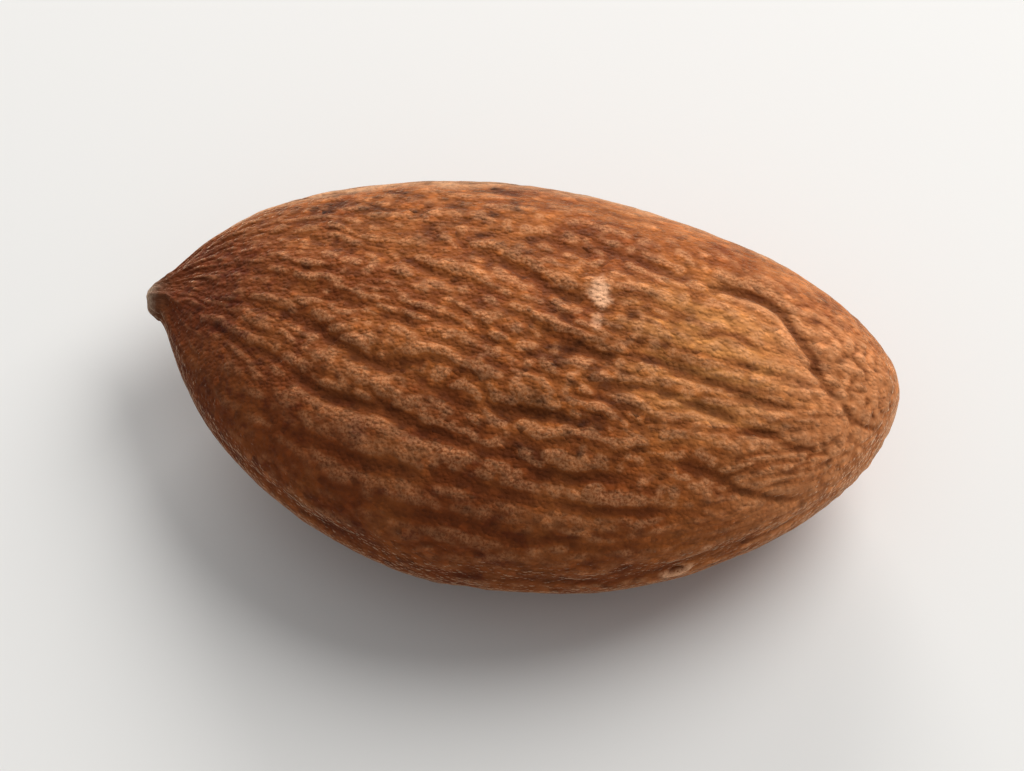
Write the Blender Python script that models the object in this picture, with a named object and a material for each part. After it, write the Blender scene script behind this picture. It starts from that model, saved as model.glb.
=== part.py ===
"""An almond kernel in its brown skin, lying on one of its broad faces.

Metres, +Z up. The origin is on the surface that the almond lies on, at the middle of its bounding
box. The pointed tip is at -X and the blunt end at +X. The straighter edge is at +Y and the fuller
edge at -Y.
"""

import math
import random
from collections import namedtuple

import bpy
from mathutils import Vector, noise

# Driving dimensions. The two reaches go from the straight line between the ends to the edges.
LENGTH = 0.0240
STRAIGHT_REACH = 0.0053
FULL_REACH = 0.0087
THICKNESS = 0.0080
WIDTH = STRAIGHT_REACH + FULL_REACH

# Profiles. Each rises as the first power of the distance from the tip and falls as the second
# power of the distance to the blunt end, so a larger power gives a more pointed end.
STRAIGHT_POWERS = (0.45, 0.58)
FULL_POWERS = (0.57, 0.61)
THICKNESS_POWERS = (0.62, 0.47)
SECTION_POWER = 2.15
BODY_START = 0.022
TIP_SOFTNESS = 0.03
TIP_DROOP = 0.0006

# The small nub on the tip, a bead half sunk in it, where the root of a seedling would come out
NUB_HALF_LENGTH = 0.0011
NUB_WIDTH = 0.0016
NUB_HEIGHT = 0.0013
NUB_BLEND = 3.0

# Veins. They run lengthwise, and on both faces lean from the straighter edge to the fuller one. A
# vein is named by its angle round the section at half the length: 0 degrees is the straighter
# edge, 90 the middle of the upper face, 180 the fuller edge and 270 the middle of the lower face.
VEIN_LEAN = math.radians(45)

# Furrows on the upper face. For each: where it starts and ends along the length, the veins that it
# is on at its start, middle and end, in degrees, and its depth as a share of FURROW_DEPTH.
UPPER_FURROWS = (
    (0.14, 0.86, 14, 12, 14, 0.3),
    (0.12, 0.66, 34, 37, 36, 0.5),
    (0.50, 0.72, 60, 58, 54, 0.5),
    (0.14, 0.44, 70, 80, 83, 0.6),
    (0.42, 0.64, 72, 75, 78, 0.7),
    (0.76, 0.98, 55, 64, 128, 1.0),
    (0.10, 0.42, 92, 98, 97, 0.6),
    (0.56, 0.88, 92, 87, 92, 0.7),
    (0.18, 0.60, 108, 113, 112, 1.0),
    (0.64, 0.93, 100, 100, 128, 0.9),
    (0.15, 0.68, 123, 127, 125, 0.9),
    (0.70, 0.92, 119, 127, 162, 0.7),
    (0.22, 0.76, 145, 138, 139, 0.6),
    (0.30, 0.82, 158, 153, 160, 0.6),
    (0.12, 0.90, 178, 174, 178, 0.7),
)

# Furrows on the lower face and under the edges, spread evenly with some scatter, and their forks
SEED = 41
LOWER_FURROWS = 11
FURROW_SCATTER = 0.2
FURROW_SWAY = 0.12
FURROW_STARTS = (0.06, 0.22)
FURROW_ENDS = (0.90, 0.98)
FURROW_DEPTHS = (0.55, 1.0)
FORKS = 5
FORK_SPREADS = (0.45, 0.65)
FORK_STARTS = (0.12, 0.30)
FORK_ENDS = (0.50, 0.80)
FORK_DEPTHS = (0.5, 0.8)

# Relief
FURROW_DEPTH = 0.00034
FURROW_WIDTH = 0.00034
FURROW_FADE = 0.08
FURROW_WANDER = 0.07
WANDERS_PER_LENGTH = 4.0
UNEVEN_DEPTH = 0.35
UNEVENS_PER_LENGTH = 8.0
RIB_HEIGHT = 0.00012
LUMP_HEIGHT = 0.00010
LUMP_SPREAD = 0.0038
SMOOTH_END_GIRTH = 0.3
CALM_EDGE = 0.65
CALM_EDGE_FROM = 0.80
CALM_EDGE_TO = 0.97

# Where it lies. The lower face has no furrows in an oval around the middle, and is flat there.
FLAT_DEPTH = 0.00025
REST_HALF_LENGTH = 0.0044
REST_HALF_WIDTH = 0.0030
REST_CORE = 0.6

# Mesh
MERIDIANS = 120
RINGS = 46
SMALL_STEP = 1e-3

Furrow = namedtuple("Furrow", "start end veins depth seed")


def smooth(low, high, value):
    """0 at low, 1 at high, and a smooth step between them."""
    share = min(1.0, max(0.0, (value - low) / (high - low)))
    return share * share * (3 - 2 * share)


def evened(angle):
    """Spreads angles so that equal steps go equally far round the flattened section."""
    return angle + 0.5 * (WIDTH - THICKNESS) / (WIDTH + THICKNESS) * math.sin(2 * angle)


def leaned(vein, along):
    """The angle round the section that a vein has at this place along the length."""
    return vein + VEIN_LEAN * math.sin(vein) * (along - 0.5)


def swell(along, powers):
    """A profile that is 0 at both ends of the body and about 1 where it is widest."""
    rise, fall = powers
    share = (along - BODY_START) / (1 - BODY_START)
    if share <= 0 or share >= 1:
        return 0.0
    softened = share * share / (share + TIP_SOFTNESS)
    peak = rise / (rise + fall)
    return (softened / peak) ** rise * ((1 - share) / (1 - peak)) ** fall


def nub(along):
    """The nub's own profile, a full oval bead whose rear half lies inside the body."""
    from_middle = along * LENGTH / NUB_HALF_LENGTH - 1
    return math.sqrt(max(0.0, 1 - from_middle * from_middle))


def joined(body, peg):
    return (body**NUB_BLEND + peg**NUB_BLEND) ** (1 / NUB_BLEND)


def bare_point(along, angle):
    """A point of the skin without its furrows. along runs from 0 at the tip to 1 at the blunt end,
    and angle round the section, from 0 at the straighter edge through a quarter turn on top."""
    straight = STRAIGHT_REACH * swell(along, STRAIGHT_POWERS)
    full = FULL_REACH * swell(along, FULL_POWERS)
    half_width = joined((straight + full) / 2, NUB_WIDTH / 2 * nub(along))
    half_height = joined(
        THICKNESS / 2 * swell(along, THICKNESS_POWERS), NUB_HEIGHT / 2 * nub(along)
    )
    side, up = math.cos(angle), math.sin(angle)
    reach = (abs(side) ** SECTION_POWER + abs(up) ** SECTION_POWER) ** (-1 / SECTION_POWER)
    return Vector((
        LENGTH * (along - 0.5),
        half_width * side * reach + (straight - full) / 2,
        half_height * up * reach - TIP_DROOP * (1 - along) ** 3,
    ))


def normal_at(along, angle):
    """Outwards from the bare shape, measured across one small step lengthwise and one around."""
    before, after = max(0.0, along - SMALL_STEP), min(1.0, along + SMALL_STEP)
    lengthwise = bare_point(after, angle) - bare_point(before, angle)
    around = bare_point(along, angle + SMALL_STEP) - bare_point(along, angle - SMALL_STEP)
    return around.cross(lengthwise).normalized()


def girth(along):
    """How far round the section is at this place, as a share of the widest section."""
    return math.sqrt(swell(along, FULL_POWERS) * swell(along, THICKNESS_POWERS))


def make_furrows():
    """Every furrow of the skin: those of the upper face, then the scattered ones and their forks."""
    draw = random.Random(SEED)
    upper = [
        Furrow(start, end, tuple(map(math.radians, veins)), depth, draw.uniform(0, 100))
        for start, end, *veins, depth in UPPER_FURROWS
    ]
    spacing = math.pi / (LOWER_FURROWS - 1)
    lower = []
    for i in range(LOWER_FURROWS):
        vein = evened(-(i + draw.uniform(-1, 1) * FURROW_SCATTER) * spacing)
        lower.append(
            Furrow(
                start=draw.uniform(*FURROW_STARTS),
                end=draw.uniform(*FURROW_ENDS),
                veins=(vein, vein + draw.uniform(-1, 1) * FURROW_SWAY, vein),
                depth=draw.uniform(*FURROW_DEPTHS),
                seed=draw.uniform(0, 100),
            )
        )
    forks = []
    for i in range(FORKS):
        trunk = lower[1 + i * (LOWER_FURROWS - 2) // FORKS]
        spread = draw.choice((-1, 1)) * spacing * draw.uniform(*FORK_SPREADS)
        forks.append(
            trunk._replace(
                start=draw.uniform(*FORK_STARTS),
                end=draw.uniform(*FORK_ENDS),
                veins=(trunk.veins[0] + spread, trunk.veins[1] + spread / 2, trunk.veins[1]),
                depth=trunk.depth * draw.uniform(*FORK_DEPTHS),
            )
        )
    return upper + lower + forks


def furrow_course(furrow, along):
    """The vein that the furrow is on at this place, and how fast it changes veins there. It
    follows a parabola through the furrow's three veins, and wanders a little."""
    reach = furrow.end - furrow.start
    share = (along - furrow.start) / reach
    first, middle, last = furrow.veins
    bend = 2 * (2 * middle - first - last)
    vein = first + (last - first) * share + bend * share * (1 - share)
    slope = (last - first + bend * (1 - 2 * share)) / reach
    wander = noise.noise(Vector((along * WANDERS_PER_LENGTH, furrow.seed, 0.0)))
    return vein + FURROW_WANDER * wander, slope


def furrow_depth(furrow, along):
    """How deep the furrow is at this place, as a share of FURROW_DEPTH."""
    begins = smooth(furrow.start - FURROW_FADE, furrow.start + FURROW_FADE, along)
    stops = smooth(furrow.end - FURROW_FADE, furrow.end + FURROW_FADE / 2, along)
    uneven = noise.noise(Vector((along * UNEVENS_PER_LENGTH, furrow.seed, 9.0)))
    return furrow.depth * begins * (1 - stops) * (1 + UNEVEN_DEPTH * uneven)


def relief(along, vein, furrows):
    """How far the skin stands out from the bare shape: ribs stand out and furrows go in. It all
    grows with the girth, so furrows narrow and close up towards both ends. They are shallower
    along both edges."""
    angle = leaned(vein, along)
    size = girth(along)
    radius = math.hypot(WIDTH / 2 * math.sin(angle), THICKNESS / 2 * math.cos(angle))
    calm = 1 - CALM_EDGE * smooth(CALM_EDGE_FROM, CALM_EDGE_TO, abs(math.cos(vein)))
    height = RIB_HEIGHT + LUMP_HEIGHT * noise.noise(bare_point(along, angle) / LUMP_SPREAD)
    for furrow in furrows:
        depth = furrow_depth(furrow, along)
        if depth <= 0.0:
            continue
        course, slope = furrow_course(furrow, along)
        askew = math.hypot(1.0, slope * radius * size / LENGTH)
        away = math.remainder(vein - course, 2 * math.pi) * radius / (FURROW_WIDTH * askew)
        height -= FURROW_DEPTH * depth * calm / (1 + away * away)
    return height * size * smooth(0.0, SMOOTH_END_GIRTH, size)


def rest_share(point):
    """1 in the middle of the face that it lies on, and 0 away from it."""
    if point.z > 0:
        return 0.0
    away = math.hypot(point.x / REST_HALF_LENGTH, point.y / REST_HALF_WIDTH)
    return 1 - smooth(REST_CORE, 1.0, away)


def skin_point(along, vein, furrows):
    angle = leaned(vein, along)
    point = bare_point(along, angle)
    height = relief(along, vein, furrows) * (1 - rest_share(point))
    return point + normal_at(along, angle) * height


def shape(mesh):
    """Turns a unit sphere with its poles on X into the almond, and lays it on the surface. The
    sphere's meridians become the veins, so the furrows follow the edges of the mesh."""
    furrows = make_furrows()
    for vertex in mesh.vertices:
        unit = vertex.co
        along = min(1.0, max(0.0, (1 + unit.x) / 2))
        vein = evened(math.atan2(unit.z, unit.y))
        vertex.co = skin_point(along, vein, furrows)
    floor = min(vertex.co.z for vertex in mesh.vertices) + FLAT_DEPTH
    low = Vector(min(v.co[axis] for v in mesh.vertices) for axis in range(3))
    high = Vector(max(v.co[axis] for v in mesh.vertices) for axis in range(3))
    middle = (low + high) / 2
    for vertex in mesh.vertices:
        vertex.co.x -= middle.x
        vertex.co.y -= middle.y
        vertex.co.z = max(vertex.co.z - floor, 0.0)


def skin_material():
    material = bpy.data.materials.new("almond_skin")
    material.use_nodes = True
    shader = material.node_tree.nodes["Principled BSDF"]
    shader.inputs["Base Color"].default_value = (0.262, 0.091, 0.028, 1.0)
    shader.inputs["Roughness"].default_value = 0.65
    shader.inputs["Metallic"].default_value = 0.0
    return material


def make_almond(collection):
    bpy.ops.mesh.primitive_uv_sphere_add(
        segments=MERIDIANS, ring_count=RINGS, radius=1.0, rotation=(0, math.pi / 2, 0)
    )
    almond = bpy.context.object
    bpy.ops.object.transform_apply(location=False, rotation=True, scale=False)
    almond.name = almond.data.name = "almond"
    shape(almond.data)
    almond.data.materials.append(skin_material())
    almond.data.shade_smooth()
    for holder in list(almond.users_collection):
        holder.objects.unlink(almond)
    collection.objects.link(almond)
    return almond


def main():
    for old in list(bpy.data.objects):
        bpy.data.objects.remove(old, do_unlink=True)
    collection = bpy.data.collections.new("almond")
    bpy.context.scene.collection.children.link(collection)
    make_almond(collection)


main()
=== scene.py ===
import math
import random
from collections import namedtuple

import bmesh
import bpy
import numpy as np
from mathutils import Matrix, Vector, noise


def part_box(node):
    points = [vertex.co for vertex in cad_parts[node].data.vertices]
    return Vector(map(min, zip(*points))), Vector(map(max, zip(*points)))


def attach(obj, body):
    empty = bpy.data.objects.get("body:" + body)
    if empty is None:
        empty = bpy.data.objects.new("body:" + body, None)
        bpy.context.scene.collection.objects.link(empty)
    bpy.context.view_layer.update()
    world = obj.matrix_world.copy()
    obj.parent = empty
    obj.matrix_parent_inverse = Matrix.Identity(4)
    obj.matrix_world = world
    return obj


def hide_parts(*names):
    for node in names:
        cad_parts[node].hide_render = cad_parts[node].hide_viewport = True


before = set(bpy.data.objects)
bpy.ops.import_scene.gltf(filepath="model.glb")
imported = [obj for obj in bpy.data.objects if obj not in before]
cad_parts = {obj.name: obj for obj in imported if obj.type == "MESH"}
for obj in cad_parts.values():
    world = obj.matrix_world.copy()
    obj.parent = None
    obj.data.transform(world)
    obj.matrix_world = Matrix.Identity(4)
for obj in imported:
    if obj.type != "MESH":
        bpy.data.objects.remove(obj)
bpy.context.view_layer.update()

almond_low, almond_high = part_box("almond")

# Form of the kernel, in metres. along runs from 0 at the tip to 1 at the blunt end. A vein is an angle
# round the kernel: 0 at the straighter edge, a quarter turn on top and half a turn at the fuller edge.
LENGTH = almond_high.x - almond_low.x
STRAIGHT_REACH = 0.0053
FULL_REACH = 0.0087
THICKNESS = 0.0080
WIDTH = STRAIGHT_REACH + FULL_REACH
STRAIGHT_POWERS = (0.45, 0.58)
FULL_POWERS = (0.57, 0.61)
THICKNESS_POWERS = (0.62, 0.47)
SECTION_POWER = 2.15
BODY_START = 0.022
TIP_SOFTNESS = 0.03
TIP_DROOP = 0.0006

NUB_HALF_LENGTH = 0.0011
NUB_WIDTH = 0.0016
NUB_HEIGHT = 0.0013
NUB_BLEND = 3.0

VEIN_LEAN = math.radians(45)
VEIN_RADIUS = 0.0055

# Furrows of the upper face: start, end, veins in degrees at start, middle and end, depth
UPPER_FURROWS = (
    (0.14, 0.86, 14, 12, 14, 0.3),
    (0.12, 0.66, 34, 37, 36, 0.25),
    (0.50, 0.72, 60, 58, 54, 0.35),
    (0.14, 0.44, 70, 80, 83, 0.28),
    (0.42, 0.64, 72, 75, 78, 0.5),
    (0.76, 0.98, 55, 64, 128, 0.95),
    (0.10, 0.42, 92, 98, 97, 0.35),
    (0.56, 0.88, 92, 87, 92, 0.6),
    (0.18, 0.60, 108, 113, 112, 0.85),
    (0.64, 0.93, 100, 100, 128, 0.8),
    (0.15, 0.68, 123, 127, 125, 0.65),
    (0.70, 0.92, 119, 127, 162, 0.6),
    (0.22, 0.76, 145, 138, 139, 0.35),
    (0.30, 0.82, 158, 153, 160, 0.35),
    (0.12, 0.90, 178, 174, 178, 0.6),
)

# Scattered furrows of the lower face and their forks
SEED = 41
LOWER_FURROWS = 11
FURROW_SCATTER = 0.2
FURROW_SWAY = 0.12
FURROW_STARTS = (0.06, 0.22)
FURROW_ENDS = (0.90, 0.98)
FURROW_DEPTHS = (0.55, 1.0)
FORKS = 5
FORK_SPREADS = (0.45, 0.65)
FORK_STARTS = (0.12, 0.30)
FORK_ENDS = (0.50, 0.80)
FORK_DEPTHS = (0.5, 0.8)

FURROW_DEPTH = 0.00034
FURROW_WIDTH = 0.00034
FURROW_FADE = 0.08
FURROW_WANDER = 0.07
WANDERS_PER_LENGTH = 4.0
UNEVEN_DEPTH = 0.35
UNEVENS_PER_LENGTH = 8.0
RIB_HEIGHT = 0.00012
LUMP_HEIGHT = 0.00010
LUMP_SPREAD = 0.0038
SMOOTH_END_GIRTH = 0.3
CALM_EDGE = 0.65
CALM_EDGE_FROM = 0.80
CALM_EDGE_TO = 0.97

# Finer relief, which only this mesh is dense enough to hold
SWAY = 0.00022
SWAY_SPREAD = 0.0017
SHIVER = 0.00009
SHIVER_SPREAD = 0.0006
SWAY_SHARES = (1.0, 1.5, 1.5)
BREAK_UP = 0.7
BREAK_LENGTH = 0.0016
BREAK_SPREAD = 0.0009
CREASE_DEPTH = 0.00003
CREASE_WIDTH = 0.00016
RIBLET_HEIGHT = 0.000068
RIBLET_LENGTH = 0.0042
RIBLET_SPACING = 0.00085
PUCKER_HEIGHT = 0.000053
PUCKER_LENGTH = 0.00100
PUCKER_SPACING = 0.00055
PUCKER_TURN = (0.0085, 0.0108)
CREASE_ROUNDING = 0.06
MIDDLE_HEIGHT = 0.45
GRAIN_HEIGHT = 0.000024
GRAIN_SPREAD = 0.00036
GRAIN_EDGE = (0.1, 0.75)
ROUGH_PATCH = Vector((0.0020, -0.0028, 0.0037))
ROUGH_PATCH_REACH = 0.0046
ROUGH_PATCH_EDGE = (0.3, 1.0)
ROUGH_PATCH_BOOST = 0.5
BLUNT_END_BOOST = 0.5
FINE_CALM = 0.62
FINE_CALM_FROM = 0.50
FINE_CALM_TO = 0.86
GOLDEN_CALM = 0.35
NUB_FOLDS = 9
NUB_FOLDS_BEGIN = (0.002, 0.02)
NUB_FOLDS_FADE = (0.03, 0.10)
NUB_FOLD_HEIGHT = 0.000045
NUB_FOLD_BEND = 2.5
NUB_ROUGHNESS = 0.00008
NUB_ROUGH_SPREAD = 0.00040
NUB_ROUGH_FADES = (0.02, 0.045)
PIT_DEPTHS = (0.000028, 0.00010)
PIT_REACHES = (3, 9)

# Where it lies
FLAT_DEPTH = 0.00025
REST_HALF_LENGTH = 0.0044
REST_HALF_WIDTH = 0.0030
REST_CORE = 0.6

# Mesh
MERIDIANS = 340
RINGS = 294
EVEN_RINGS = 0.35
SMALL_STEP = 1e-3
SHORTEST = 1e-12

# Markings of the skin. A pair says where a marking starts to show and where it is full, or where it
# starts to fade and where it has gone, in along, in vein, in the vein's sine or cosine, or in reaches.

# Yellower place on the upper face
GOLDEN_ALONG = 0.78
GOLDEN_LENGTH = 0.21
GOLDEN_VEIN = math.radians(80)
GOLDEN_SPREAD = math.radians(42)
GOLDEN_EDGE = (0.2, 1.0)

# Thin pale skin, along the straighter edge and round the blunt end
PALE_SIDE = (0.70, 0.95)
PALE_ABOVE = (-0.6, 0.1)
PALE_BEGINS = (0.05, 0.15)
PALE_LEAST = 0.05
PALE_GAIN = 0.40
PALE_GAINS = (0.35, 0.7)
PALE_END = (0.72, 0.95)

# Darker and redder skin, at the tip and down the fuller side: partly the skin's own redder tone, partly
# painted shade where the kernel lies darker there
RED_TOP = (0.5, 1.5)
RED_TIP_FROM = 0.03
RED_TIP_TO = 0.12
RED_TIP_LONGER_ON_TOP = 0.14
RED_TAIL = 0.2
RED_TAIL_FADES = (0.15, 0.5)
RED_TIP_LOSS = 0.35
RED_TIP_LOSS_SIDE = (0.5, 1.0)
RED_SIDE = (0.1, 0.95)
RED_SIDE_BEGINS = (0.05, 0.35)
RED_SIDE_FADES = (0.45, 0.9)
RED_SIDE_SHARE = 0.6

# Band of painted shade, in blotches, beside the straighter edge
BAND_SIDE = (0.15, 0.6)
BAND_BEGINS = (0.12, 0.2)
BAND_FADES = (0.4, 0.65)
BAND_SHARE = 1.3

# Painted pale rim light along the straighter edge, standing in for light from behind catching it
KEEL_ANGLE = math.radians(24)
KEEL_SPREAD = math.radians(13)
KEEL_WANDER = math.radians(7)
KEEL_WANDER_SPREAD = 0.0011
KEEL_EDGE = (0.1, 1.0)
KEEL_BEGINS = (0.04, 0.14)
KEEL_FADES = (0.80, 0.93)

# Rubbed places: along, vein in degrees, half-length, half-width and strength
SCUFFS = (
    (0.604, 71.5, 0.00032, 0.00054, 1.0),
    (0.608, 80.5, 0.00014, 0.00038, 0.45),
    (0.789, 166.5, 0.00015, 0.00020, 0.5),
)
SCUFF_EDGE = (0.5, 1.3)
RAGGED = 0.7
RAGGED_SPREAD = 0.00028

# Small chip at the fuller edge, with a torn pale rim
CHIP_ALONG = 0.754
CHIP_VEIN = math.radians(184)
CHIP_REACH = 0.00034
CHIP_DEPTH = 0.00014
CHIP_LIP = 0.00005
CHIP_RAGGED = 0.6
CHIP_EDGE = (0.3, 0.9)
CHIP_RIM_BEGINS = (0.5, 0.9)
CHIP_RIM_FADES = (1.1, 1.7)
CHIP_RIM_SIDE = (-0.9, 0.2)
CHIP_CENTRE = 0.1

# Patterns of the skin: repeats per metre, and how far each is drawn out lengthwise
MOTTLE_SCALE = 420
PATCH_SCALE = 1700
PATCH_STRETCH = (0.6, 1, 1)
FIBRE_SCALE = 5200
FIBRE_STRETCH = (0.22, 1, 1)
STREAK_SCALE = 1500
STREAK_STRETCH = (0.16, 1, 1)
SCURF_SCALE = 12000
SCURF_ROUGHNESS = 0.7
FLECK_SCALE = 3300
FLECK_STRETCH = (0.7, 1, 1)
BEAD_SCALE = 7200
BEAD_STRETCH = (0.8, 1, 1)
CELL_DOME = (0.75, 0.10)

# Heights of the finest bumps, and the dull sheen
FIBRE_BUMP = 0.00002
FLECK_BUMP = 0.00003
BEAD_BUMP = 0.000028
SCURF_BUMP = 0.000015
DULLNESS = (0.66, 0.88)
SHEEN = 1.0
SHEEN_ROUGHNESS = 0.18
GLOSS = 0.12

# Camera, floor and light. A lamp has azimuth, elevation, size and power.
VIEW_AZIMUTH = math.radians(9.8)
VIEW_ELEVATION = math.radians(60)
LENS = 250
SENSOR_WIDTH = 36
SHARE_OF_FRAME = 0.75
NEAREST_SEEN = 0.001
FLOOR_SIZE = 3.0
FLOOR_DROP = 0.00002
FLOOR_ROUGHNESS = 0.9
LAMP_DISTANCE = 0.30
WINDOW_LAMP = (140, 44, 0.26, 0.78)
RIM_LAMP = (190, 14, 0.16, 0.70)
ROOM_COLOUR = (0.96, 0.975, 1.0, 1.0)
ROOM_STRENGTH = 0.38

Furrow = namedtuple("Furrow", "start end veins depth seed")


def smooth(low, high, value):
    """0 at low, 1 at high, and a smooth step between them, for numbers or arrays."""
    share = np.clip((value - low) / (high - low), 0.0, 1.0)
    return share * share * (3 - 2 * share)


def evened(angle):
    """Spreads angles so that equal steps go equally far round the flattened section."""
    return angle + 0.5 * (WIDTH - THICKNESS) / (WIDTH + THICKNESS) * np.sin(2 * angle)


def leaned(vein, along):
    """The angle round the section that a vein has at this place along the length."""
    return vein + VEIN_LEAN * np.sin(vein) * (along - 0.5)


def turned(angle, middle):
    """How far round from the middle each angle is, from minus half a turn to half a turn."""
    return np.remainder(angle - middle + math.pi, 2 * math.pi) - math.pi


def swell(along, powers):
    """A profile that is 0 at both ends of the body and about 1 where it is widest."""
    rise, fall = powers
    share = np.clip((along - BODY_START) / (1 - BODY_START), 0.0, 1.0)
    softened = share * share / (share + TIP_SOFTNESS)
    peak = rise / (rise + fall)
    return (softened / peak) ** rise * ((1 - share) / (1 - peak)) ** fall


def nub(along):
    """The round profile of the nub at the tip, from 0 to 1."""
    from_middle = along * LENGTH / NUB_HALF_LENGTH - 1
    return np.sqrt(np.clip(1 - from_middle * from_middle, 0.0, None))


def joined(body, peg):
    """The larger of two reaches, with a soft change from one to the other."""
    return (body**NUB_BLEND + peg**NUB_BLEND) ** (1 / NUB_BLEND)


def bare_points(along, angle):
    """Points of the skin without its furrows, one row for each pair of along and angle."""
    straight = STRAIGHT_REACH * swell(along, STRAIGHT_POWERS)
    full = FULL_REACH * swell(along, FULL_POWERS)
    half_width = joined((straight + full) / 2, NUB_WIDTH / 2 * nub(along))
    half_height = joined(
        THICKNESS / 2 * swell(along, THICKNESS_POWERS), NUB_HEIGHT / 2 * nub(along)
    )
    side, up = np.cos(angle), np.sin(angle)
    reach = (abs(side) ** SECTION_POWER + abs(up) ** SECTION_POWER) ** (-1 / SECTION_POWER)
    x = LENGTH * (along - 0.5)
    y = half_width * side * reach + (straight - full) / 2
    z = half_height * up * reach - TIP_DROOP * (1 - along) ** 3
    return np.stack((x, y, z), axis=1)


def normals_at(along, angle):
    """The direction straight out of the bare skin at each point."""
    before, after = np.maximum(0.0, along - SMALL_STEP), np.minimum(1.0, along + SMALL_STEP)
    lengthwise = bare_points(after, angle) - bare_points(before, angle)
    around = bare_points(along, angle + SMALL_STEP) - bare_points(along, angle - SMALL_STEP)
    outwards = np.cross(around, lengthwise)
    return outwards / np.maximum(np.linalg.norm(outwards, axis=1, keepdims=True), SHORTEST)


def girth(along):
    """How far round the section is at this place, as a share of the widest section."""
    return np.sqrt(swell(along, FULL_POWERS) * swell(along, THICKNESS_POWERS))


def noise_at(points, spread, seed=0.0):
    """Soft noise from -1 to 1 at each point, with lumps of about the given spread."""
    places = points / spread + seed
    return np.array([noise.noise(Vector(place)) for place in places.tolist()])


def billows_at(grain, length, spacing, seed):
    """Rounded swellings from 0 to about 1, with narrow creases between them, drawn out lengthwise."""
    return 2 * np.hypot(noise_at(grain * (spacing / length, 1, 1), spacing, seed), CREASE_ROUNDING)


def grains_at(points, spread):
    """1 in the middle of each rounded grain of the skin, falling to 0 between grains."""
    places = (points / spread).tolist()
    nearest = np.array([noise.voronoi(Vector(place))[0][0] for place in places])
    return 1 - smooth(*GRAIN_EDGE, nearest)


def blurred(grid, reach):
    """Averages rings by meridians over a window of reach steps either way."""
    steps = range(-reach, reach + 1)
    around = sum(np.roll(grid, step, axis=1) for step in steps) / len(steps)
    padded = np.pad(around, ((reach, reach), (0, 0)), "edge")
    return sum(padded[reach + step : reach + step + len(grid)] for step in steps) / len(steps)


def pits_in(height, ring, meridian):
    """How far each vertex lies below its surroundings, near and wider, from -1 to 1."""
    grid = np.zeros((RINGS + 1, MERIDIANS))
    grid[ring, meridian] = height
    grid[0], grid[-1] = height[ring == 0][0], height[ring == RINGS][0]
    return [
        np.clip((blurred(grid, reach) - grid)[ring, meridian] / depth, -1, 1)
        for depth, reach in zip(PIT_DEPTHS, PIT_REACHES)
    ]


def make_furrows():
    """Every furrow of the skin: those of the upper face, then the scattered ones and their forks."""
    draw = random.Random(SEED)
    upper = [
        Furrow(start, end, tuple(map(math.radians, veins)), depth, draw.uniform(0, 100))
        for start, end, *veins, depth in UPPER_FURROWS
    ]
    spacing = math.pi / (LOWER_FURROWS - 1)
    lower = []
    for i in range(LOWER_FURROWS):
        vein = float(evened(-(i + draw.uniform(-1, 1) * FURROW_SCATTER) * spacing))
        lower.append(
            Furrow(
                start=draw.uniform(*FURROW_STARTS),
                end=draw.uniform(*FURROW_ENDS),
                veins=(vein, vein + draw.uniform(-1, 1) * FURROW_SWAY, vein),
                depth=draw.uniform(*FURROW_DEPTHS),
                seed=draw.uniform(0, 100),
            )
        )
    forks = []
    for i in range(FORKS):
        trunk = lower[1 + i * (LOWER_FURROWS - 2) // FORKS]
        spread = draw.choice((-1, 1)) * spacing * draw.uniform(*FORK_SPREADS)
        forks.append(
            trunk._replace(
                start=draw.uniform(*FORK_STARTS),
                end=draw.uniform(*FORK_ENDS),
                veins=(trunk.veins[0] + spread, trunk.veins[1] + spread / 2, trunk.veins[1]),
                depth=trunk.depth * draw.uniform(*FORK_DEPTHS),
            )
        )
    return upper + lower + forks


def furrow_course(furrow, along):
    """The vein that the furrow is on at this place, and how fast it changes veins there."""
    reach = furrow.end - furrow.start
    share = (along - furrow.start) / reach
    first, middle, last = furrow.veins
    bend = 2 * (2 * middle - first - last)
    vein = first + (last - first) * share + bend * share * (1 - share)
    slope = (last - first + bend * (1 - 2 * share)) / reach
    wander = noise.noise(Vector((along * WANDERS_PER_LENGTH, furrow.seed, 0.0)))
    return vein + FURROW_WANDER * wander, slope


def furrow_depth(furrow, along):
    """How deep the furrow is at this place, as a share of FURROW_DEPTH."""
    begins = smooth(furrow.start - FURROW_FADE, furrow.start + FURROW_FADE, along)
    stops = smooth(furrow.end - FURROW_FADE, furrow.end + FURROW_FADE / 2, along)
    uneven = noise.noise(Vector((along * UNEVENS_PER_LENGTH, furrow.seed, 9.0)))
    return furrow.depth * begins * (1 - stops) * (1 + UNEVEN_DEPTH * uneven)


def furrows_at(ring, ring_alongs, vein, radius, size, sway):
    """How far each vertex is down in the furrows, and in the narrow creases at their bottoms."""
    hollow = np.zeros(len(vein))
    crease = np.zeros(len(vein))
    for furrow in make_furrows():
        courses = np.array([furrow_course(furrow, along) for along in ring_alongs])
        depths = np.array([furrow_depth(furrow, along) for along in ring_alongs])
        depth = depths[ring]
        course, slope = courses[ring].T
        askew = np.hypot(1.0, slope * radius * size / LENGTH)
        away = turned(vein, course) * radius / askew + sway
        hollow += depth / (1 + (away / FURROW_WIDTH) ** 2)
        crease += depth * np.exp(-((away / CREASE_WIDTH) ** 2))
    return hollow, crease


def rest_share(points):
    """1 in the middle of the face that it lies on, and 0 away from it."""
    away = np.hypot(points[:, 0] / REST_HALF_LENGTH, points[:, 1] / REST_HALF_WIDTH)
    return np.where(points[:, 2] > 0, 0.0, 1 - smooth(REST_CORE, 1.0, away))


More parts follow.
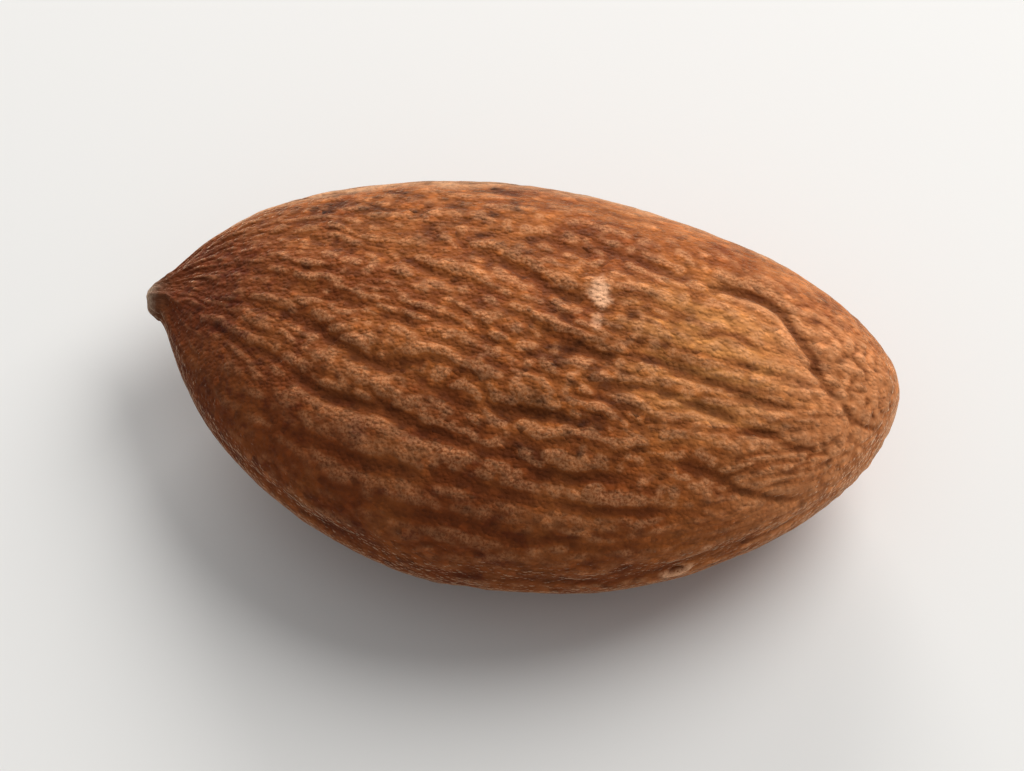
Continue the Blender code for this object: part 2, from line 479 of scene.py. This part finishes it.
def scuff_share(along, vein, ragged):
    """1 in the middle of the rubbed places and 0 away from them, with ragged edges."""
    share = np.zeros(len(along))
    for place, degrees, half_length, half_width, strength in SCUFFS:
        lengthwise = (along - place) * LENGTH / half_length
        across = (vein - math.radians(degrees)) * WIDTH / 2 / half_width
        inside = 1 - smooth(*SCUFF_EDGE, np.hypot(lengthwise, across) + ragged)
        share = np.maximum(share, strength * inside)
    return share


def chip_shares(along, vein, ragged):
    """The hollow of the chip and the torn rim round it, each from 0 to 1."""
    lengthwise = (along - CHIP_ALONG) * LENGTH
    across = turned(vein, CHIP_VEIN) * VEIN_RADIUS
    reach = np.hypot(lengthwise, across) / CHIP_REACH
    away = reach + CHIP_RAGGED * ragged
    outwards = across / CHIP_REACH / np.maximum(reach, CHIP_CENTRE)
    below = smooth(*CHIP_RIM_SIDE, outwards + ragged)
    rim = smooth(*CHIP_RIM_BEGINS, away) * (1 - smooth(*CHIP_RIM_FADES, away)) * below
    return 1 - smooth(*CHIP_EDGE, away), rim


def nub_folds(bare, along, vein, grain):
    """Small lengthwise folds where the skin is gathered round the nub, and the rough scar on it."""
    bend = NUB_FOLD_BEND * noise_at(grain, SWAY_SPREAD, seed=4.4)
    reach = smooth(*NUB_FOLDS_BEGIN, along) * (1 - smooth(*NUB_FOLDS_FADE, along))
    rough = NUB_ROUGHNESS * noise_at(bare, NUB_ROUGH_SPREAD, seed=7.7)
    scar = rough * (1 - smooth(*NUB_ROUGH_FADES, along))
    return NUB_FOLD_HEIGHT * np.cos(NUB_FOLDS * vein + bend) * reach + scar


def painted_rim_light_share(along, angle, grain):
    """1 along the painted pale rim light beside the straighter edge, which fades towards both ends."""
    wander = KEEL_WANDER * noise_at(grain, KEEL_WANDER_SPREAD, seed=3.1)
    line = 1 - smooth(*KEEL_EDGE, abs(turned(angle, KEEL_ANGLE) + wander) / KEEL_SPREAD)
    return line * smooth(*KEEL_BEGINS, along) * (1 - smooth(*KEEL_FADES, along))


def pale_share(along, vein):
    """1 where the skin is thin and pale, along the straighter edge and round the blunt end."""
    edge = smooth(*PALE_SIDE, np.cos(vein)) * smooth(*PALE_ABOVE, np.sin(vein))
    band = (PALE_LEAST + PALE_GAIN * smooth(*PALE_GAINS, along)) * smooth(*PALE_BEGINS, along)
    return np.maximum(band * edge, smooth(*PALE_END, along))


def golden_share(along, vein):
    """1 in the middle of the yellower place on the upper face, towards the blunt end."""
    away = np.hypot((along - GOLDEN_ALONG) / GOLDEN_LENGTH, (vein - GOLDEN_VEIN) / GOLDEN_SPREAD)
    return 1 - smooth(*GOLDEN_EDGE, away)


def red_and_shade_share(along, vein):
    """1 where the skin is darker and redder, at the tip and down the fuller side, partly its own tone
    and partly painted shade.
    """
    top = smooth(*RED_TOP, abs(vein))
    tip = 1 - smooth(RED_TIP_FROM, RED_TIP_TO + RED_TIP_LONGER_ON_TOP * top, along)
    tip += RED_TAIL * top * (1 - smooth(*RED_TAIL_FADES, along))
    tip *= 1 - RED_TIP_LOSS * smooth(*RED_TIP_LOSS_SIDE, -np.cos(vein))
    side = smooth(*RED_SIDE, -np.cos(vein))
    side = side * smooth(*RED_SIDE_BEGINS, along) * (1 - smooth(*RED_SIDE_FADES, along))
    return np.clip(tip + RED_SIDE_SHARE * side, 0, 1)


def patch_share(bare):
    """1 in the middle of the roughest and darkest place of the upper face."""
    away = np.linalg.norm(bare - ROUGH_PATCH, axis=1) / ROUGH_PATCH_REACH
    return 1 - smooth(*ROUGH_PATCH_EDGE, away)


def dark_share(bare, along, vein):
    """How much the skin is darkened in blotches: the roughest place, and a band of painted shade by the
    straighter edge.
    """
    band = smooth(*BAND_SIDE, np.cos(vein))
    band = band * smooth(*BAND_BEGINS, along) * (1 - smooth(*BAND_FADES, along))
    return np.maximum(patch_share(bare), BAND_SHARE * band)


def fine_relief(bare, grain, crease, size, vein, golden):
    """The small relief: riblets along the veins, puckers and grains, and creases in the furrows."""
    riblets = billows_at(grain, RIBLET_LENGTH, RIBLET_SPACING, seed=3.7) - MIDDLE_HEIGHT
    lengthwise = billows_at(grain, PUCKER_LENGTH, PUCKER_SPACING, seed=8.1)
    at_the_end = billows_at(bare, PUCKER_SPACING, PUCKER_SPACING, seed=2.6)
    end = smooth(*PUCKER_TURN, bare[:, 0])
    puckers = lengthwise + (at_the_end - lengthwise) * end - MIDDLE_HEIGHT
    grains = grains_at(bare, GRAIN_SPREAD)
    patch = patch_share(bare)
    calm = 1 - FINE_CALM * smooth(FINE_CALM_FROM, FINE_CALM_TO, abs(np.cos(vein)))
    rough = (1 + ROUGH_PATCH_BOOST * patch + BLUNT_END_BOOST * end) * calm * (1 - GOLDEN_CALM * golden)
    return (
        RIBLET_HEIGHT * riblets * size * calm
        + PUCKER_HEIGHT * puckers * rough
        + GRAIN_HEIGHT * grains * rough
        - CREASE_DEPTH * crease * size
    )


def shape_skin(bm):
    """Moves the vertices of a unit sphere with its poles on X to the skin, and lays it on the floor.
    Returns what the skin's material needs to know about each vertex."""
    unit = np.array([v.co for v in bm.verts])
    turn = np.arccos(np.clip(-unit[:, 0], -1.0, 1.0)) / math.pi
    ring = np.round(turn * RINGS).astype(int)
    shares = np.arange(RINGS + 1) / RINGS
    ring_alongs = (1 - EVEN_RINGS) * (1 - np.cos(math.pi * shares)) / 2 + EVEN_RINGS * shares
    along = ring_alongs[ring]
    even_vein = np.arctan2(unit[:, 2], unit[:, 1])
    meridian = np.round(even_vein / (2 * math.pi) * MERIDIANS).astype(int) % MERIDIANS
    vein = evened(even_vein)
    angle = leaned(vein, along)

    bare = bare_points(along, angle)
    size = girth(along)
    fading = smooth(0, SMOOTH_END_GIRTH, size)
    radius = np.hypot(WIDTH / 2 * np.sin(angle), THICKNESS / 2 * np.cos(angle))
    grain = np.stack(
        (along * LENGTH, VEIN_RADIUS * np.cos(even_vein), VEIN_RADIUS * np.sin(even_vein)), axis=1
    )
    sway = SWAY * noise_at(grain, SWAY_SPREAD, seed=1.3)
    sway = sway + SHIVER * noise_at(grain, SHIVER_SPREAD, seed=5.9)
    hollow, crease = furrows_at(ring, ring_alongs, vein, radius, size, sway)
    broken = noise_at(grain * (BREAK_SPREAD / BREAK_LENGTH, 1, 1), BREAK_SPREAD, seed=6.2)
    calm = 1 - CALM_EDGE * smooth(CALM_EDGE_FROM, CALM_EDGE_TO, abs(np.cos(vein)))
    hollow = hollow * calm * (1 + BREAK_UP * broken)
    crease = crease * calm * (1 + BREAK_UP * broken)
    lump = LUMP_HEIGHT * noise_at(bare, LUMP_SPREAD)
    coarse = (RIB_HEIGHT + lump - FURROW_DEPTH * hollow) * size * fading

    swayed = grain + sway[:, None] * np.array(SWAY_SHARES)
    golden = golden_share(along, vein)
    fine = fine_relief(bare, swayed, crease, size, vein, golden) * fading
    ragged = RAGGED * noise_at(grain, RAGGED_SPREAD, seed=2.2)
    chip, rim = chip_shares(along, vein, ragged)
    height = (coarse + fine) * (1 - rest_share(bare)) + nub_folds(bare, along, vein, grain)
    height += CHIP_LIP * rim - CHIP_DEPTH * chip
    points = bare + normals_at(along, angle) * height[:, None]
    points[:, 0] += (almond_low.x + almond_high.x) / 2
    points[:, 1] += (almond_low.y + almond_high.y - points[:, 1].min() - points[:, 1].max()) / 2
    points[:, 2] = np.maximum(points[:, 2] - points[:, 2].min() - FLAT_DEPTH, 0.0)
    for vert, point in zip(bm.verts, points.tolist()):
        vert.co = point
    pit, dip = pits_in(height, ring, meridian)
    return {
        "grain": swayed,
        "hollow": np.clip(hollow + chip, 0, 1),
        "pit": pit,
        "dip": dip,
        "along": along,
        "pale": pale_share(along, vein),
        "golden": golden,
        "painted_rim_light": painted_rim_light_share(along, angle, grain),
        "red": red_and_shade_share(along, vein),
        "dark": dark_share(bare, along, vein),
        "scuff": np.maximum(scuff_share(along, vein, ragged), rim),
    }


def make_skin():
    bm = bmesh.new()
    bmesh.ops.create_uvsphere(
        bm,
        u_segments=MERIDIANS,
        v_segments=RINGS,
        radius=1.0,
        matrix=Matrix.Rotation(math.pi / 2, 4, "Y"),
    )
    facts = shape_skin(bm)
    bmesh.ops.recalc_face_normals(bm, faces=bm.faces)
    mesh = bpy.data.meshes.new("almond_skin")
    bm.to_mesh(mesh)
    bm.free()
    for name, values in facts.items():
        kind, field = ("FLOAT_VECTOR", "vector") if values.ndim == 2 else ("FLOAT", "value")
        layer = mesh.attributes.new(name, kind, "POINT")
        layer.data.foreach_set(field, values.astype(np.float32).ravel())
    mesh.shade_smooth()
    skin = bpy.data.objects.new("almond_skin", mesh)
    bpy.context.scene.collection.objects.link(skin)
    return skin


def linear(red, green, blue):
    """A colour named in the usual 0 to 255 steps, as the shader wants it."""
    steps = (red / 255, green / 255, blue / 255)
    return tuple(s / 12.92 if s <= 0.04045 else ((s + 0.055) / 1.055) ** 2.4 for s in steps) + (1,)


SKIN_BROWN = linear(131, 66, 24)
SKIN_TAN = linear(157, 88, 38)
# Redder skin at the tip and fuller side, partly painted shade
RED_SKIN_AND_SHADE = linear(88, 34, 10)
# Painted shade for pits, dips and furrows
PAINTED_FURROW_SHADE = linear(80, 33, 9)
# Pale powder and painted highlight on the crests
POWDER_AND_HIGHLIGHT_TAN = linear(214, 152, 106)
FIBRE_BROWN = linear(92, 41, 13)
EDGE_TAN = linear(192, 122, 74)
# Painted rim light along the straighter edge
PAINTED_RIM_LIGHT_PALE = linear(214, 164, 122)
GOLDEN_TAN = linear(198, 130, 68)
NUB_BROWN = linear(98, 58, 36)
# Grey of the nub's end, partly a painted highlight
NUB_GREY_AND_HIGHLIGHT = linear(178, 150, 126)
RUBBED_CREAM = linear(236, 178, 136)
SHEEN_TINT = linear(255, 214, 176)
FLOOR_PALE = linear(232, 230, 226)


class Nodes:
    """Short ways to add and join the nodes of one material. A number may stand for any socket."""

    def __init__(self, material):
        material.use_nodes = True
        self.tree = material.node_tree
        self.shader = self.tree.nodes["Principled BSDF"]

    def add(self, kind, **settings):
        node = self.tree.nodes.new(kind)
        for name, value in settings.items():
            setattr(node, name, value)
        return node

    def feed(self, socket, value):
        if isinstance(value, bpy.types.NodeSocket):
            self.tree.links.new(value, socket)
        else:
            socket.default_value = value

    def attribute(self, name):
        node = self.add("ShaderNodeAttribute", attribute_name=name)
        return node.outputs["Vector" if name == "grain" else "Fac"]

    def place(self):
        return self.add("ShaderNodeTexCoord").outputs["Object"]

    def scaled(self, vector, scale):
        node = self.add("ShaderNodeMapping", vector_type="POINT")
        self.feed(node.inputs["Vector"], vector)
        node.inputs["Scale"].default_value = scale
        return node.outputs["Vector"]

    def noise(self, vector, scale, detail=3.0, roughness=0.55):
        node = self.add("ShaderNodeTexNoise")
        self.feed(node.inputs["Vector"], vector)
        node.inputs["Scale"].default_value = scale
        node.inputs["Detail"].default_value = detail
        node.inputs["Roughness"].default_value = roughness
        return node.outputs["Fac"]

    def cells(self, vector, scale):
        node = self.add("ShaderNodeTexVoronoi")
        self.feed(node.inputs["Vector"], vector)
        node.inputs["Scale"].default_value = scale
        return node.outputs["Distance"], node.outputs["Color"]

    def ramp(self, value, low, high, bottom=0.0, top=1.0):
        node = self.add("ShaderNodeMapRange", interpolation_type="SMOOTHSTEP")
        for name, number in zip(
            ("Value", "From Min", "From Max", "To Min", "To Max"), (value, low, high, bottom, top)
        ):
            self.feed(node.inputs[name], number)
        return node.outputs["Result"]

    def sum(self, first, second, operation="ADD"):
        node = self.add("ShaderNodeMath", operation=operation)
        self.feed(node.inputs[0], first)
        self.feed(node.inputs[1], second)
        return node.outputs["Value"]

    def product(self, first, second):
        return self.sum(first, second, "MULTIPLY")

    def blend(self, share, under, over):
        node = self.add("ShaderNodeMix", data_type="RGBA")
        self.feed(node.inputs[0], share)
        self.feed(node.inputs[6], under)
        self.feed(node.inputs[7], over)
        return node.outputs[2]

    def shaded(self, colour, value):
        node = self.add("ShaderNodeHueSaturation")
        self.feed(node.inputs["Color"], colour)
        self.feed(node.inputs["Value"], value)
        return node.outputs["Color"]

    def bump(self, height, distance, under=None):
        node = self.add("ShaderNodeBump")
        node.inputs["Distance"].default_value = distance
        self.feed(node.inputs["Height"], height)
        if under is not None:
            self.feed(node.inputs["Normal"], under)
        return node.outputs["Normal"]


def skin_material():
    """The brown skin: tan grains, partly painted highlight, over brown, painted shade in the furrows,
    faint fibres and a redder tip that is partly painted shade.
    """
    material = bpy.data.materials.new("almond_skin")
    n = Nodes(material)
    place = n.place()
    grain = n.attribute("grain")
    hollow, pit, dip = n.attribute("hollow"), n.attribute("pit"), n.attribute("dip")
    along, pale, red = n.attribute("along"), n.attribute("pale"), n.attribute("red")
    golden, painted_rim_light, scuff = n.attribute("golden"), n.attribute("painted_rim_light"), n.attribute("scuff")
    dark = n.attribute("dark")

    mottle = n.noise(place, MOTTLE_SCALE, detail=4)
    patches = n.noise(n.scaled(place, PATCH_STRETCH), PATCH_SCALE)
    fibres = n.noise(n.scaled(grain, FIBRE_STRETCH), FIBRE_SCALE)
    streaks = n.noise(n.scaled(grain, STREAK_STRETCH), STREAK_SCALE, detail=2)
    scurf = n.noise(place, SCURF_SCALE, roughness=SCURF_ROUGHNESS)
    fleck_gap, fleck_mark = n.cells(n.scaled(place, FLECK_STRETCH), FLECK_SCALE)
    bead_gap, bead_mark = n.cells(n.scaled(place, BEAD_STRETCH), BEAD_SCALE)
    fleck = n.ramp(fleck_gap, *CELL_DOME)
    bead = n.ramp(bead_gap, *CELL_DOME)

    colour = n.blend(n.ramp(mottle, 0.38, 0.62), SKIN_BROWN, SKIN_TAN)
    yellowed = n.product(golden, n.ramp(streaks, 0.40, 0.62, 0.25, 0.9))
    colour = n.blend(yellowed, colour, GOLDEN_TAN)
    thin = n.sum(mottle, n.product(pit, -0.16))
    colour = n.blend(n.product(pale, n.ramp(thin, 0.3, 0.62, 0.2, 0.9)), colour, EDGE_TAN)
    # Redder, darker skin at the tip and fuller side: partly its own tone, partly painted shade.
    reddened = n.sum(n.product(red, 0.8), n.ramp(patches, 0.48, 0.30, 0.0, 0.4))
    colour = n.blend(reddened, colour, RED_SKIN_AND_SHADE)
    stringy = n.ramp(along, 0.90, 0.98, 1.0, 0.0)
    colour = n.blend(n.product(stringy, n.ramp(fibres, 0.48, 0.28, 0.0, 0.4)), colour, FIBRE_BROWN)
    uneven = n.sum(n.product(scurf, 0.5), -0.25)
    # Painted shade: darker brown in pits, dips and furrows, where shade would fall.
    in_pits = n.ramp(n.sum(pit, uneven), 0.0, 0.9, 0.0, 0.30)
    in_dips = n.ramp(dip, 0.1, 0.9, 0.0, 0.18)
    in_furrows = n.ramp(n.sum(hollow, uneven), 0.2, 0.9, 0.0, 0.15)
    painted_shade_share = n.sum(n.sum(in_pits, in_dips), in_furrows)
    colour = n.blend(n.sum(painted_shade_share, 0.6, "MINIMUM"), colour, PAINTED_FURROW_SHADE)
    # Pale tan on raised places: partly pale powder on the crests, partly painted highlight on the ribs.
    raised = n.product(n.ramp(pit, 0.1, -0.8), n.ramp(scurf, 0.35, 0.6, 0.05, 0.45))
    raised = n.product(raised, n.ramp(red, 0.0, 1.0, 1.0, 0.45))
    colour = n.blend(raised, colour, POWDER_AND_HIGHLIGHT_TAN)
    fleck_shade = n.product(n.ramp(fleck_mark, 0.1, 0.9, -0.34, 0.44), fleck)
    bead_shade = n.product(n.ramp(bead_mark, 0.1, 0.9, -0.19, 0.24), bead)
    # Blotchy darkening: the skin's darker rough patch, and painted shade in the band by the straighter
    # edge.
    dark_shade = n.product(dark, n.ramp(patches, 0.35, 0.60, -0.38, 0.0))
    shade = n.sum(n.sum(fleck_shade, bead_shade), dark_shade)
    colour = n.shaded(colour, n.sum(shade, 1.0))
    # Painted rim light: a pale line along the straighter edge, standing in for light from behind.
    colour = n.blend(n.product(painted_rim_light, n.ramp(patches, 0.38, 0.60, 0.15, 0.6)), colour, PAINTED_RIM_LIGHT_PALE)
    nub_place = n.sum(along, n.product(n.sum(patches, -0.5), 0.03))
    colour = n.blend(n.ramp(nub_place, 0.040, 0.022, 0.0, 0.85), colour, NUB_BROWN)
    # Grey end of the nub: partly its own paler colour, partly a painted highlight.
    grey = n.product(n.ramp(nub_place, 0.022, 0.004), n.ramp(scurf, 0.38, 0.58, 0.35, 0.95))
    colour = n.blend(grey, colour, NUB_GREY_AND_HIGHLIGHT)
    colour = n.blend(n.product(scuff, n.ramp(scurf, 0.30, 0.47)), colour, RUBBED_CREAM)
    n.feed(n.shader.inputs["Base Color"], colour)

    n.feed(n.shader.inputs["Roughness"], n.ramp(scurf, 0.3, 0.7, *DULLNESS))
    n.shader.inputs["Sheen Weight"].default_value = SHEEN
    n.shader.inputs["Sheen Roughness"].default_value = SHEEN_ROUGHNESS
    n.shader.inputs["Sheen Tint"].default_value = SHEEN_TINT
    n.shader.inputs["Specular IOR Level"].default_value = GLOSS

    relief = n.bump(n.product(fibres, stringy), FIBRE_BUMP)
    relief = n.bump(fleck, FLECK_BUMP, relief)
    relief = n.bump(bead, BEAD_BUMP, relief)
    relief = n.bump(scurf, SCURF_BUMP, relief)
    n.feed(n.shader.inputs["Normal"], relief)
    return material


def make_floor():
    bm = bmesh.new()
    bmesh.ops.create_grid(bm, x_segments=1, y_segments=1, size=FLOOR_SIZE / 2)
    bmesh.ops.translate(bm, verts=bm.verts, vec=(0, 0, -FLOOR_DROP))
    mesh = bpy.data.meshes.new("floor")
    bm.to_mesh(mesh)
    bm.free()
    floor = bpy.data.objects.new("floor", mesh)
    bpy.context.scene.collection.objects.link(floor)
    material = bpy.data.materials.new("pale_floor")
    material.use_nodes = True
    shader = material.node_tree.nodes["Principled BSDF"]
    shader.inputs["Base Color"].default_value = FLOOR_PALE
    shader.inputs["Roughness"].default_value = FLOOR_ROUGHNESS
    mesh.materials.append(material)
    return floor


def aimed(name, data, azimuth, elevation, distance, target):
    """An object that looks at the target from that azimuth, elevation and distance."""
    back = Vector((
        math.sin(azimuth) * math.cos(elevation),
        -math.cos(azimuth) * math.cos(elevation),
        math.sin(elevation),
    ))
    thing = bpy.data.objects.new(name, data)
    thing.location = target + back * distance
    thing.rotation_euler = back.to_track_quat("Z", "Y").to_euler()
    bpy.context.scene.collection.objects.link(thing)
    return thing


def add_lamp(name, azimuth, elevation, size, power, target):
    lamp = bpy.data.lights.new(name, "AREA")
    lamp.shape = "DISK"
    lamp.size = size
    lamp.energy = power
    aimed(name, lamp, math.radians(azimuth), math.radians(elevation), LAMP_DISTANCE, target)


def add_world():
    world = bpy.data.worlds.new("pale_room")
    world.use_nodes = True
    background = world.node_tree.nodes["Background"]
    background.inputs["Color"].default_value = ROOM_COLOUR
    background.inputs["Strength"].default_value = ROOM_STRENGTH
    bpy.context.scene.world = world


def add_camera(target):
    camera = bpy.data.cameras.new("camera")
    camera.lens = LENS
    camera.sensor_width = SENSOR_WIDTH
    camera.clip_start = NEAREST_SEEN
    distance = LENS / SENSOR_WIDTH * LENGTH / SHARE_OF_FRAME
    made = aimed("camera", camera, VIEW_AZIMUTH, VIEW_ELEVATION, distance, target)
    bpy.context.scene.camera = made


skin = make_skin()
skin.data.materials.append(skin_material())
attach(skin, "root")
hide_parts("almond")

floor = make_floor()

middle = (almond_low + almond_high) / 2
add_lamp("window", *WINDOW_LAMP, middle)
add_lamp("rim", *RIM_LAMP, middle)
add_world()
add_camera(middle)
bpy.context.scene.view_settings.view_transform = "Standard"
